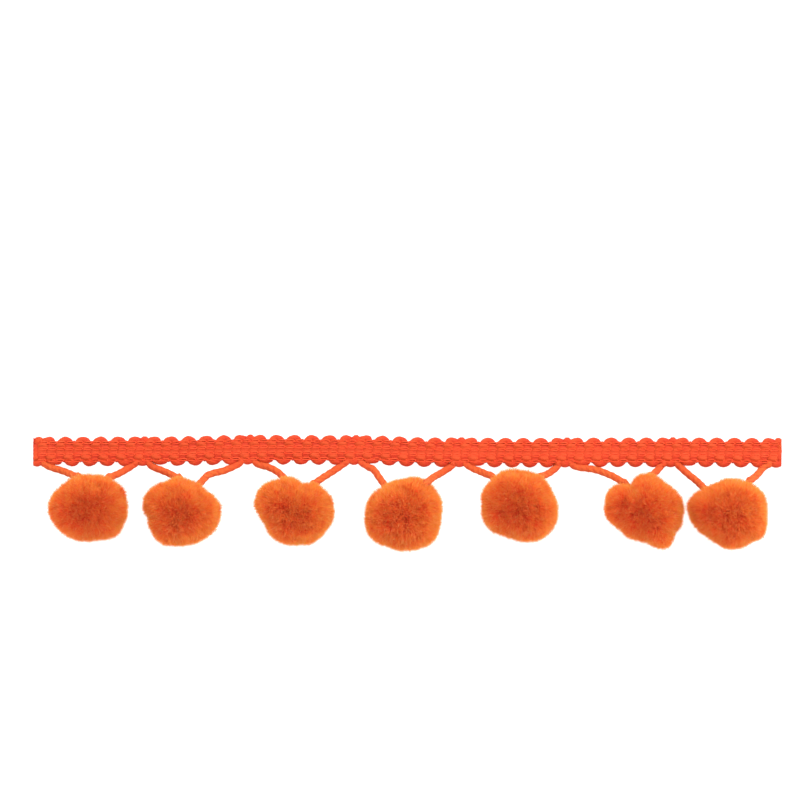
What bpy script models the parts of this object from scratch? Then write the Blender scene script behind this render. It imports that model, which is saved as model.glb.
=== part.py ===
"""Pompom fringe trim: a narrow scalloped braid with a row of yarn pompoms hung from it on loops of cord.

The trim lies straight on a flat surface with its front up. Units are metres, +Z is up, +X runs along the
braid, and +Y points from the pompoms to the braid. The surface is z = 0, and the origin lies on it under the
middle of the trim.
"""

import math
import random

import bmesh
import bpy
from mathutils import Vector, noise

MM = 0.001
GAP = 0.3 * MM

# Braid
LENGTH = 187.0 * MM
BRAID_Y = 10.35 * MM
BRAID_THICKNESS = 2.1 * MM
CORE_WIDTH = 5.7 * MM
REPEAT = 26.4 * MM
FIRST_NODE_X = -92.35 * MM
NODES = 8
BUMPS_PER_REPEAT = 6
BUMP_HEIGHT = 0.95 * MM
BUMP_HALF_WIDTH = 1.45 * MM
LEAN = 0.6 * MM
RIB_RELIEF = 0.45 * MM
WARP_RELIEF = 0.2 * MM
WARP_PITCH = 1.46 * MM
RIM_Z = 0.85 * MM
UNDERSIDE_INSET = 0.35 * MM
COLUMNS_PER_BUMP = 6

# Cord of the loops
CORD_DIAMETER = 1.8 * MM
CORD_STEP = 1.9 * MM
CORD_REST_Z = CORD_DIAMETER / 2 + 0.05 * MM
RISE_ON_THE_WAY = 0.3
ENTRY_Z = 4.4 * MM
HIGH_ENTRY_Z = 9.5 * MM

# Pompoms
SPHERE_CUTS = 6
PRESSED_FLAT = 1.3 * MM
PILE_UNEVENNESS = 0.45 * MM
PILE_BELOW_OUTLINE = 0.5 * MM
LOCKS_PER_POMPOM = 36
LOCK_HEIGHT = 1.25 * MM
LOCK_UNEVENNESS = 0.25 * MM
LOCKS_ABOVE_Z = 3.2 * MM
LOCKS_FROM_CORD = 3.6 * MM

# The braid wanders a little to either side of its line. Millimetres: x along it, y off its line.
SWAY = (
    (-93.5, 0.0),
    (-62.0, 0.1),
    (-38.0, 0.5),
    (-12.0, 0.4),
    (6.0, -0.1),
    (30.0, -0.22),
    (55.0, -0.12),
    (75.0, -0.15),
    (93.5, -0.27),
)

# One row for each pompom, in millimetres and degrees.
# x, y, width, depth, height: its middle and its size, height being up from the surface.
# forms: (bearing, proud, spread), a bulge or a hollow on its side, the bearing turning left from +X.
# left, right: where each end of its loop leaves the braid, a point on the way, and its way into the pompom.
# lies_on: the end of the loop, if any, that lies on the pompom before it sinks in.
POMPOMS = (
    {
        "x": -79.7, "y": -3.7, "width": 20.5, "depth": 16.8, "height": 17.0,
        "forms": ((30, 0.5, 20), (315, 0.5, 18), (225, -0.3, 25)),
        "left": ((-89.2, 6.2), (-85.7, 5.4), (-83.0, 4.3)),
        "right": ((-68.7, 6.15), (-71.6, 5.0), (-73.9, 4.0)),
        "lies_on": None,
    },
    {
        "x": -56.5, "y": -5.0, "width": 20.4, "depth": 17.0, "height": 17.5,
        "forms": ((95, 0.6, 22), (152, 0.7, 20), (203, -0.9, 20), (320, -0.7, 30), (30, -0.5, 20)),
        "left": ((-62.8, 6.35), (-60.6, 5.3), (-57.7, 3.9)),
        "right": ((-42.3, 6.4), (-48.7, 4.75), (-51.4, 2.9)),
        "lies_on": None,
    },
    {
        "x": -28.1, "y": -5.0, "width": 20.0, "depth": 16.6, "height": 16.6,
        "forms": ((52, 0.6, 18), (76, -0.9, 14), (138, 1.3, 20), (204, -1.5, 26), (325, -0.6, 28)),
        "left": ((-36.5, 6.7), (-33.2, 5.8), (-30.2, 3.0)),
        "right": ((-15.9, 6.5), (-20.6, 4.2), (-22.9, 2.6)),
        "lies_on": None,
    },
    {
        "x": -1.0, "y": -5.3, "width": 19.5, "depth": 18.3, "height": 18.3,
        "forms": (
            (30, 0.4, 18), (98, -0.5, 20), (135, -0.6, 16), (207, 0.5, 22), (250, -0.4, 18), (352, -0.4, 15),
        ),
        "left": ((-10.0, 6.7), (-8.1, 5.3), (-5.6, 1.9)),
        "right": ((10.5, 6.05), (7.6, 4.5), (4.9, 2.7)),
        "lies_on": "right",
    },
    {
        "x": 28.15, "y": -2.9, "width": 19.4, "depth": 18.3, "height": 18.0,
        "forms": (
            (18, -0.7, 25), (80, -0.5, 22), (160, 0.4, 20), (206, 0.4, 18), (250, -0.7, 20), (310, 0.8, 26),
        ),
        "left": ((16.3, 6.1), (18.4, 5.3), (20.5, 4.5)),
        "right": ((37.1, 6.2), (35.6, 5.1), (33.6, 4.2)),
        "lies_on": None,
    },
    {
        "x": 59.15, "y": -4.5, "width": 20.3, "depth": 18.8, "height": 17.5,
        "forms": (
            (42, -0.8, 26), (118, -1.3, 22), (152, 0.3, 14), (215, -1.9, 24), (255, -1.7, 24), (303, 1.3, 16),
        ),
        "left": ((42.8, 6.0), (48.6, 5.2), (53.7, 2.8)),
        "right": ((63.4, 6.1), (61.4, 5.0), (59.4, 3.4)),
        "lies_on": None,
    },
    {
        "x": 80.4, "y": -5.0, "width": 20.8, "depth": 17.8, "height": 17.5,
        "forms": (
            (8, -0.3, 22), (82, -0.4, 20), (122, -0.9, 22), (226, -1.2, 22), (285, 0.3, 16), (345, -0.5, 16),
        ),
        "left": ((68.4, 6.35), (70.7, 4.4), (73.4, 1.9)),
        "right": ((89.9, 6.15), (87.6, 4.5), (85.8, 3.3)),
        "lies_on": None,
    },
)

# The loop turns back in the pompom's middle. Millimetres from that middle.
BIGHT = ((-1.9, 1.6), (0.0, -0.2), (1.9, 1.6))

PITCH = REPEAT / BUMPS_PER_REPEAT
COLUMN_STEP = PITCH / COLUMNS_PER_BUMP
COLUMNS_BEFORE_NODE = 2
WARP_ROWS = tuple(WARP_PITCH * steps for steps in (1.5, 1, 0.5, 0, -0.5, -1, -1.5))
LAST_ROW = len(WARP_ROWS) + 1


def clear_scene():
    for obj in list(bpy.data.objects):
        bpy.data.objects.remove(obj, do_unlink=True)


def new_collection(name):
    collection = bpy.data.collections.new(name)
    bpy.context.scene.collection.children.link(collection)
    return collection


def yarn(name, colour, roughness):
    material = bpy.data.materials.new(name)
    material.use_nodes = True
    shader = material.node_tree.nodes["Principled BSDF"]
    shader.inputs["Base Color"].default_value = (*colour, 1.0)
    shader.inputs["Roughness"].default_value = roughness
    shader.inputs["Metallic"].default_value = 0.0
    return material


def finish_mesh(obj, collection, material):
    obj.data.shade_smooth()
    obj.data.set_sharp_from_angle(angle=math.radians(60))
    obj.data.materials.append(material)
    for other in list(obj.users_collection):
        other.objects.unlink(obj)
    collection.objects.link(obj)


def smooth_step(share):
    share = min(max(share, 0.0), 1.0)
    return share * share * (3 - 2 * share)


def sway(x):
    """How far the braid's line lies off BRAID_Y at this x."""
    for (x0, y0), (x1, y1) in zip(SWAY, SWAY[1:]):
        if x <= x1 * MM:
            return (y0 + (y1 - y0) * smooth_step((x / MM - x0) / (x1 - x0))) * MM
    return SWAY[-1][1] * MM


def bump_centres():
    """The x of each scallop on the upper edge and on the lower edge.

    The weft cord turns once at each edge in every pitch. At a node, halfway between two pompoms, the loops'
    cord crosses the braid. It adds a scallop to the upper edge, and the lower edge lacks the one where it
    leaves again.
    """
    turns = range(-1, BUMPS_PER_REPEAT * NODES)
    nodes = [FIRST_NODE_X + REPEAT * node for node in range(NODES)]
    upper = [FIRST_NODE_X + PITCH * (turn + 0.5) for turn in turns]
    lower = [FIRST_NODE_X + PITCH * turn for turn in turns if turn % BUMPS_PER_REPEAT != 1]
    return upper + nodes, lower


def scallop(x, centres):
    """The height of the nearest scallop's half-round at this x, as a share of BUMP_HEIGHT."""
    nearest = min(abs(x - centre) for centre in centres)
    return math.sqrt(max(0.0, 1 - (nearest / BUMP_HALF_WIDTH) ** 2))


def braid_point(column, row, upper, lower):
    """The braid's upper surface at one column and row of its grid, row 0 being the upper edge."""
    x = FIRST_NODE_X + COLUMN_STEP * (column - COLUMNS_BEFORE_NODE)
    rib = abs(math.sin(2 * math.pi * (x - FIRST_NODE_X) / PITCH))
    if row in (0, LAST_ROW):
        side, centres = (1, upper) if row == 0 else (-1, lower)
        turn = scallop(x, centres)
        y = side * (CORE_WIDTH / 2 + BUMP_HEIGHT * turn)
        z = RIM_Z + RIB_RELIEF * turn
    else:
        if row == 1:
            rib = max(rib, scallop(x, upper))
        elif row == LAST_ROW - 1:
            rib = max(rib, scallop(x, lower))
        between_warps = row % 2 == 0
        y = WARP_ROWS[row - 1]
        z = BRAID_THICKNESS - RIB_RELIEF * (1 - rib) - WARP_RELIEF * between_warps
    x = min(max(x + LEAN * y / CORE_WIDTH, -LENGTH / 2), LENGTH / 2)
    return Vector((x, BRAID_Y + sway(x) + y, z))


def heading_braid(collection, material):
    columns = math.ceil((LENGTH / 2 - FIRST_NODE_X) / COLUMN_STEP) + COLUMNS_BEFORE_NODE
    upper, lower = bump_centres()
    bpy.ops.mesh.primitive_grid_add(x_subdivisions=columns, y_subdivisions=LAST_ROW, size=2)
    obj = bpy.context.active_object
    obj.name = obj.data.name = "heading_braid"
    bm = bmesh.new()
    bm.from_mesh(obj.data)
    for vertex in bm.verts:
        column = round((vertex.co.x + 1) / 2 * columns)
        row = round((1 - vertex.co.y) / 2 * LAST_ROW)
        vertex.co = braid_point(column, row, upper, lower)
    rim = [edge for edge in bm.edges if edge.is_boundary]
    wall = bmesh.ops.extrude_edge_only(bm, edges=rim)["geom"]
    for vertex in (item for item in wall if isinstance(item, bmesh.types.BMVert)):
        off_line = vertex.co.y - BRAID_Y - sway(vertex.co.x)
        if abs(off_line) > WARP_ROWS[0] + GAP:
            vertex.co.y -= math.copysign(UNDERSIDE_INSET, off_line)
        vertex.co.z = 0.0
    underside = bmesh.ops.edgeloop_fill(bm, edges=[edge for edge in bm.edges if edge.is_boundary])["faces"]
    bmesh.ops.triangulate(bm, faces=underside)
    bmesh.ops.recalc_face_normals(bm, faces=bm.faces)
    bm.to_mesh(obj.data)
    bm.free()
    finish_mesh(obj, collection, material)


def curve_through(points):
    """A closely spaced Catmull-Rom curve through the points of a route."""
    padded = [points[0] * 2 - points[1], *points, points[-1] * 2 - points[-2]]
    steps = 24
    fine = []
    for a, b, c, d in zip(padded, padded[1:], padded[2:], padded[3:]):
        for step in range(steps):
            t = step / steps
            bend = (2 * a - 5 * b + 4 * c - d) * t ** 2 + (3 * b - a - 3 * c + d) * t ** 3
            fine.append((2 * b + (c - a) * t + bend) / 2)
    return [*fine, points[-1]]


def evenly_spaced(fine, step):
    """Points a fixed way apart along a finely drawn curve, with both of its ends."""
    total = sum((b - a).length for a, b in zip(fine, fine[1:]))
    count = max(2, round(total / step))
    spaced = [fine[0]]
    walked = 0.0
    for a, b in zip(fine, fine[1:]):
        length = (b - a).length
        while len(spaced) < count and walked + length >= len(spaced) * total / count:
            spaced.append(a.lerp(b, (len(spaced) * total / count - walked) / length))
        walked += length
    return [*spaced, fine[-1]]


def middle_of(row):
    """The middle of a pompom, where yarn is tied round the loop."""
    return Vector((row["x"], row["y"], 0)) * MM + Vector((0, 0, (row["height"] * MM - PRESSED_FLAT) / 2))


def loop_end(row, side):
    """One end of a loop: where it leaves the braid, the point on its way, and its way into the pompom."""
    entry_z = HIGH_ENTRY_Z if row["lies_on"] == side else ENTRY_Z
    way_z = CORD_REST_Z + (entry_z - CORD_REST_Z) * RISE_ON_THE_WAY
    levels = (CORD_REST_Z, way_z, entry_z)
    return [Vector((x * MM, y * MM, z)) for (x, y), z in zip(row[side], levels)]


def loop_route(row):
    """The loop's cord from the braid through the pompom's middle and back."""
    bight = [middle_of(row) + Vector((x, y, 0)) * MM for x, y in BIGHT]
    points = [*loop_end(row, "left"), *bight, *reversed(loop_end(row, "right"))]
    return evenly_spaced(curve_through(points), CORD_STEP)


def cord_curve(name, points, diameter):
    data = bpy.data.curves.new(name, "CURVE")
    data.dimensions = "3D"
    data.bevel_depth = diameter / 2
    data.bevel_resolution = 2
    data.use_fill_caps = True
    spline = data.splines.new("POLY")
    spline.points.add(len(points) - 1)
    for target, point in zip(spline.points, points):
        target.co = (*point, 1.0)
    spline.use_smooth = True
    return bpy.data.objects.new(name, data)


def loop_cord(number, row, collection, material):
    obj = cord_curve(f"loop_cord_{number}", loop_route(row), CORD_DIAMETER)
    obj.data.materials.append(material)
    collection.objects.link(obj)


def tunnel(number, row, collection):
    """The cutter for the way that the loop takes through a pompom, with a gap all round the cord."""
    curve = cord_curve(f"tunnel_{number}", loop_route(row), CORD_DIAMETER + 2 * GAP)
    collection.objects.link(curve)
    graph = bpy.context.evaluated_depsgraph_get()
    mesh = bpy.data.meshes.new_from_object(curve.evaluated_get(graph))
    bm = bmesh.new()
    bm.from_mesh(mesh)
    bmesh.ops.remove_doubles(bm, verts=bm.verts, dist=0.001 * MM)
    bmesh.ops.recalc_face_normals(bm, faces=bm.faces)
    bm.to_mesh(mesh)
    bm.free()
    cutter = bpy.data.objects.new(f"tunnel_{number}_cutter", mesh)
    cutter.matrix_world = curve.matrix_world
    collection.objects.link(cutter)
    bpy.data.objects.remove(curve, do_unlink=True)
    cutter.hide_render = True
    cutter.display_type = "WIRE"
    return cutter


def ball_direction(corner):
    """The direction of a point of the cube from -1 to 1, spread so that the faces come out even."""
    return Vector([math.tan(value * math.pi / 4) for value in corner]).normalized()


def form_height(direction, forms):
    """How far the side bulges out or sinks in at this direction, and less so towards the top."""
    bearing = math.degrees(math.atan2(direction.y, direction.x))
    level = math.hypot(direction.x, direction.y)
    height = 0.0
    for form_bearing, proud, spread in forms:
        off = (bearing - form_bearing + 180) % 360 - 180
        height += proud * math.exp(-0.5 * (off / spread) ** 2)
    return height * level ** 2 * MM


def pile_point(direction, number, row):
    """A point of the trimmed pile in this direction, pressed flat where it would go below the surface."""
    semi = Vector((row["width"] * MM, row["depth"] * MM, row["height"] * MM + PRESSED_FLAT)) / 2
    reach = 1 / math.sqrt(sum((direction[axis] / semi[axis]) ** 2 for axis in range(3)))
    uneven = noise.noise(direction * 2.6 + Vector((7.3 * number, 1.7, 4.1)))
    reach += form_height(direction, row["forms"]) + PILE_UNEVENNESS * uneven - PILE_BELOW_OUTLINE
    point = middle_of(row) + direction * reach
    point.z = max(0.0, point.z)
    return point


def lock_faces(bm, row, rng):
    """Faces for the locks, which share no corner and keep clear of the surface and of the cord's ways in."""
    ways_in = [loop_end(row, side)[-1] for side in ("left", "right")]
    candidates = []
    for face in bm.faces:
        centre = face.calc_center_median()
        from_cord = min((centre - way_in).length for way_in in ways_in)
        if centre.z > LOCKS_ABOVE_Z and from_cord > LOCKS_FROM_CORD:
            candidates.append(face)
    rng.shuffle(candidates)
    chosen, used = [], set()
    for face in candidates:
        corners = set(face.verts)
        if len(chosen) < LOCKS_PER_POMPOM and not corners & used:
            chosen.append(face)
            used |= corners
    return chosen


def pompom(number, row, collection, cutters, material):
    rng = random.Random(40 + number)
    bpy.ops.mesh.primitive_cube_add(size=2)
    obj = bpy.context.active_object
    obj.name = obj.data.name = f"pompom_{number}"
    bm = bmesh.new()
    bm.from_mesh(obj.data)
    bmesh.ops.subdivide_edges(bm, edges=bm.edges, cuts=SPHERE_CUTS, use_grid_fill=True)
    for vertex in bm.verts:
        vertex.co = pile_point(ball_direction(vertex.co), number, row)
    tips = bmesh.ops.poke(bm, faces=lock_faces(bm, row, rng), offset=LOCK_HEIGHT)["verts"]
    for tip in tips:
        tip.co += Vector([rng.uniform(-LOCK_UNEVENNESS, LOCK_UNEVENNESS) for _ in range(3)])
    bmesh.ops.recalc_face_normals(bm, faces=bm.faces)
    bm.to_mesh(obj.data)
    bm.free()
    cut = obj.modifiers.new("cord_tunnel", "BOOLEAN")
    cut.operation = "DIFFERENCE"
    cut.solver = "EXACT"
    cut.object = tunnel(number, row, cutters)
    finish_mesh(obj, collection, material)


def main():
    clear_scene()
    trim = new_collection("pompom_fringe_trim")
    cutters = new_collection("cord_tunnels")
    braid_yarn = yarn("braid_yarn", (0.82, 0.06, 0.02), 0.7)
    cord_yarn = yarn("cord_yarn", (0.80, 0.11, 0.03), 0.8)
    pompom_yarn = yarn("pompom_yarn", (0.87, 0.14, 0.02), 0.95)
    heading_braid(trim, braid_yarn)
    for number, row in enumerate(POMPOMS, start=1):
        loop_cord(number, row, trim, cord_yarn)
        pompom(number, row, trim, cutters, pompom_yarn)


main()
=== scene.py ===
"""The looks of the pompom fringe trim: corded braid, loops of twisted cord and trimmed yarn pompoms.

The trim lies on a white table, seen from straight above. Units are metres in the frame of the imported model:
+X runs along the braid, +Y points from the pompoms to the braid, and +Z is up from the table.
"""

import math

import bpy
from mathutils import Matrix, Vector, noise


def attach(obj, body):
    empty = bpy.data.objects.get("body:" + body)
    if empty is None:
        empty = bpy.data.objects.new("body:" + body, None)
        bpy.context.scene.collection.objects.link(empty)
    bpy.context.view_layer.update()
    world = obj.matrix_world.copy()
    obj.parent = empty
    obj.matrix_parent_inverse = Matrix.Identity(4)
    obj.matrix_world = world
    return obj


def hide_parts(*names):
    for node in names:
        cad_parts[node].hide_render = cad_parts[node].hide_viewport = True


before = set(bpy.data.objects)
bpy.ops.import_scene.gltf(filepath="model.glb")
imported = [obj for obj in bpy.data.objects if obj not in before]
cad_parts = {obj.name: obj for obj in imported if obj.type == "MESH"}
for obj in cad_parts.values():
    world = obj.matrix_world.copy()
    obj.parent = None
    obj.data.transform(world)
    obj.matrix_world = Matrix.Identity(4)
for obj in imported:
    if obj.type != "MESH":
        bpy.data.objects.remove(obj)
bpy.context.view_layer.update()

MM = 0.001

# Braid, as in the solids
BRAID_Y = 10.35 * MM
CORE_WIDTH = 5.7 * MM
HALF_LENGTH = 93.5 * MM
REPEAT = 26.4 * MM
FIRST_NODE_X = -92.35 * MM
NODES = 8
BUMPS_PER_REPEAT = 6
BUMP_HEIGHT = 0.95 * MM
LEAN = 0.6 * MM
WARP_PITCH = 1.46 * MM
PITCH = REPEAT / BUMPS_PER_REPEAT
RUN_STEP = PITCH / 2
WARP_ROWS = tuple(WARP_PITCH * steps for steps in (-1.5, -0.5, 0.5, 1.5))

# The braid wanders a little to either side of its line. Millimetres: x along it, y off its line.
SWAY = (
    (-93.5, 0.0),
    (-62.0, 0.1),
    (-38.0, 0.5),
    (-12.0, 0.4),
    (6.0, -0.1),
    (30.0, -0.22),
    (55.0, -0.12),
    (75.0, -0.15),
    (93.5, -0.27),
)

# Weft cord of the braid. TURN_PULLED_IN is the share by which a turn narrows at its outer end.
# TURN_ROUNDS_OVER is the share of its way out over which the cord takes a turn's radius, and RUN_SWELLS_OVER
# the length over which it swells to a run's width. FLAT_TURN is the turn after each node that doesn't stand
# out, and the turns on both sides of a node stand apart.
WEFT_HALF_WIDTH = 1.75 * MM
WEFT_HALF_THICKNESS = 0.95 * MM
WEFT_END_HALF_WIDTH = 0.84 * MM
WEFT_TURN_RADIUS = 0.92 * MM
WEFT_Z = 1.0 * MM
WEFT_TURN_STARTS = 2.45 * MM
WEFT_TWIST = 5.2 * MM
FLAT_TURN = 2
NODE_TURNS_APART = 0.4 * MM
TURN_PULLED_IN = 0.45
TURN_ROUNDS_OVER = 0.45
LEAST_TURN_SWELL = 0.05 * MM
RUN_SWELLS_OVER = 1.1 * MM
TURN_STEPS = 12
RUN_STEPS = 17
WARP_PINCH = 0.09
WARP_PINCH_REACH = 0.3 * MM

# Straight yarns inside the braid's edges
EDGE_YARN_RADIUS = 0.84 * MM
EDGE_YARN_Y = 1.97 * MM
EDGE_YARN_STEP = 1.0 * MM
EDGE_YARN_TWIST = 3.5 * MM
EDGE_YARN_RINGS_PER_MAP = 10

# At the braid's ends each kind of yarn is cut off a little further in, so that no two cuts share a plane.
# CUT_MAP_WIDTH is how much of a cut the whole map would span, and ON_THE_CUT how near a cut its points lie.
WEFT_CUT_INSET = 0.0
CORD_CUT_INSET = 0.03 * MM
EDGE_YARN_CUT_INSET = 0.06 * MM
CUT_MAP_WIDTH = 40 * MM
ON_THE_CUT = 0.001 * MM

# Warp chains of the braid. A stitch has LINK_FULLNESS of its width, and by LINK_TAPER more towards its head
# and less towards its foot. It slopes up to its head by LINK_SLOPE, and both its ends dip by LINK_ENDS_DIP.
# A share of the stitches in the outer rows have a painted glint, a pale patch on their head.
WARP_YARN = 0.32 * MM
LINK_LENGTH = 2.7 * MM
LINK_WIDTH = 0.86 * MM
LINK_RINGS = 14
LINK_SIDES = 5
LINK_FULLNESS = 0.95
LINK_TAPER = 0.4
LINK_SLOPE = 0.16 * MM
LINK_ENDS_DIP = 0.34 * MM
LINK_ABOVE_WEFT = 0.02 * MM
CELL_MARGIN = 0.05
PAINTED_GLINT_STITCHES = 0.25
PAINTED_GLINT_SHARE = 0.8
GLINT_HEAD_REACH = 0.8
RUNS = round((NODES - 1) * REPEAT / RUN_STEP)
STITCHES_ACROSS = RUNS // 4
STITCHES_UP = 4 * RUNS // STITCHES_ACROSS

# Cord of the loops. CORD_RADIUS is taken out to the tops of the plies. BIGHT is where the cord turns back, in
# millimetres from the middle of its pompom.
CORD_DIAMETER = 1.8 * MM
CORD_RADIUS = CORD_DIAMETER * 0.53
CORD_REST_Z = CORD_DIAMETER / 2 + 0.05 * MM
CORD_STEP = 0.35 * MM
CORD_TWIST = 5.5 * MM
RISE_POWER = 1.6
ENTRY_Z = 4.4 * MM
HIGH_ENTRY_Z = 9.5 * MM
UNDER_PILE = 0.4
BIGHT = ((-1.9, 1.6), (0.0, -0.2), (1.9, 1.6))

# The cord's way through the braid at a node, from its turn at the upper edge down to the pompom on the right,
# or down to the one on the left. Millimetres: x from the node, y from the braid's line, z.
TO_THE_RIGHT = (
    (-0.2, 2.95, 1.1),
    (0.35, 2.85, 1.1),
    (0.5, 1.8, 0.9),
    (0.42, 0.3, 0.7),
    (0.6, -1.6, 0.8),
    (1.5, -2.75, 1.0),
)
TO_THE_LEFT = (
    (0.2, 2.95, 1.1),
    (-0.35, 2.85, 1.1),
    (-0.5, 1.8, 0.9),
    (-0.45, 0.3, 0.7),
    (-0.75, -1.5, 0.8),
    (-1.6, -2.8, 1.1),
)

# Where the weft grips a loop's cord: where its middle lies off the braid's line, its reach, and how much
# thinner the cord is there.
GRIP_Y = 0.6 * MM
GRIP_REACH = 1.9 * MM
GRIP = 0.38

# All twisted yarns
CORD_SIDES = 12
CORD_PLIES = 3
PLY_DEPTH = 0.05
# The plies' tops are painted paler and the grooves between them darker, by this much: painted shade in the
# grooves.
PLY_PAINTED_SHADE = 0.05

# Fuzz of the cords, in fibres for each square metre
WEFT_FUZZ = 5.0e6
WEFT_FUZZ_LENGTH = 0.45 * MM
CORD_FUZZ = 12.0e6
CORD_FUZZ_LENGTH = 0.55 * MM
FUZZ_WIDTH = 0.1 * MM

# Pompoms. The ball under the pile is uneven at two sizes, each with its height, how close its lumps lie, and
# where it is taken from the noise.
PRESSED_FLAT = 1.3 * MM
UNEVEN_HEIGHT = 0.45 * MM
UNEVEN_LUMPS = 2.6
UNEVEN_START = (7.3, 1.7, 4.1)
FINER_HEIGHT = 0.3 * MM
FINER_LUMPS = 7.0
FINER_START = (3.1, 9.2, 2.4)
LOWEST_ROOT = 0.3 * MM
PILE_DEPTH = 1.75 * MM
PILE_LENGTH = 2.0 * MM
PILE_WIDTH = 0.2 * MM
FLYAWAY_LENGTH = 2.5 * MM
FLYAWAY_WIDTH = 0.13 * MM
FIBRES_PER_POMPOM = 84000
FLYAWAYS_PER_POMPOM = 10000
LIGHT_THROUGH_PILE = 0.4
# PALE_TOWARDS_TIP says how late along a fibre the painted glow of its tip takes over from the painted shade
# of its root.
PALE_TOWARDS_TIP = 2.2

# How fibres grow. Neighbours lean alike, are of a length and of a shade in clumps of these sizes. SHORTEST to
# LONGEST is a fibre's own share of its length, and a clump's share is CLUMP_LEAST with up to CLUMP_MORE.
COMBED_CLUMP = 1.6 * MM
LENGTH_CLUMP = 1.1 * MM
SHADE_CLUMP = 1.3 * MM
SKIN_CLUMP = 0.7 * MM
SHORTEST = 0.55
LONGEST = 1.2
CLUMP_LEAST = 0.6
CLUMP_MORE = 0.8
WEFT_SEED = 11
LOOP_SEED = 20
POMPOM_SEED = 40
SEEDS_PER_POMPOM = 20
SEEDS_PER_LAYER = 10
ABOVE_TABLE = 0.05 * MM

# Shades of the pile, from 0 to 1. Flyaways are paler than all the others, a painted glow at the pile's edge.
# The pile is painted deeper in shade on one side of every pompom, the side that faces up and towards -X and
# -Y, by a
# share: painted shade.
PILE_SHADES = (0.02, 0.9)
FLYAWAY_SHADES = (0.95, 0.96)
SHADE_CONTRAST = 1.3
SHADE_SPREAD = 0.15
PAINTED_SHADE_SIDE = (-0.3, -0.35, 0.89)
PAINTED_SHADE_SHARE = 0.45

# Where a fibre lies on the map: a pile fibre's width, root and length there, and a fuzz fibre's size.
FIBRE_MAP_WIDTH = 0.02
FIBRE_MAP_ROOT = 0.08
FIBRE_MAP_LENGTH = 0.9
SKIN_MAP_DEPTH = 0.07
FUZZ_MAP_SIZE = 0.004

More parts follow.
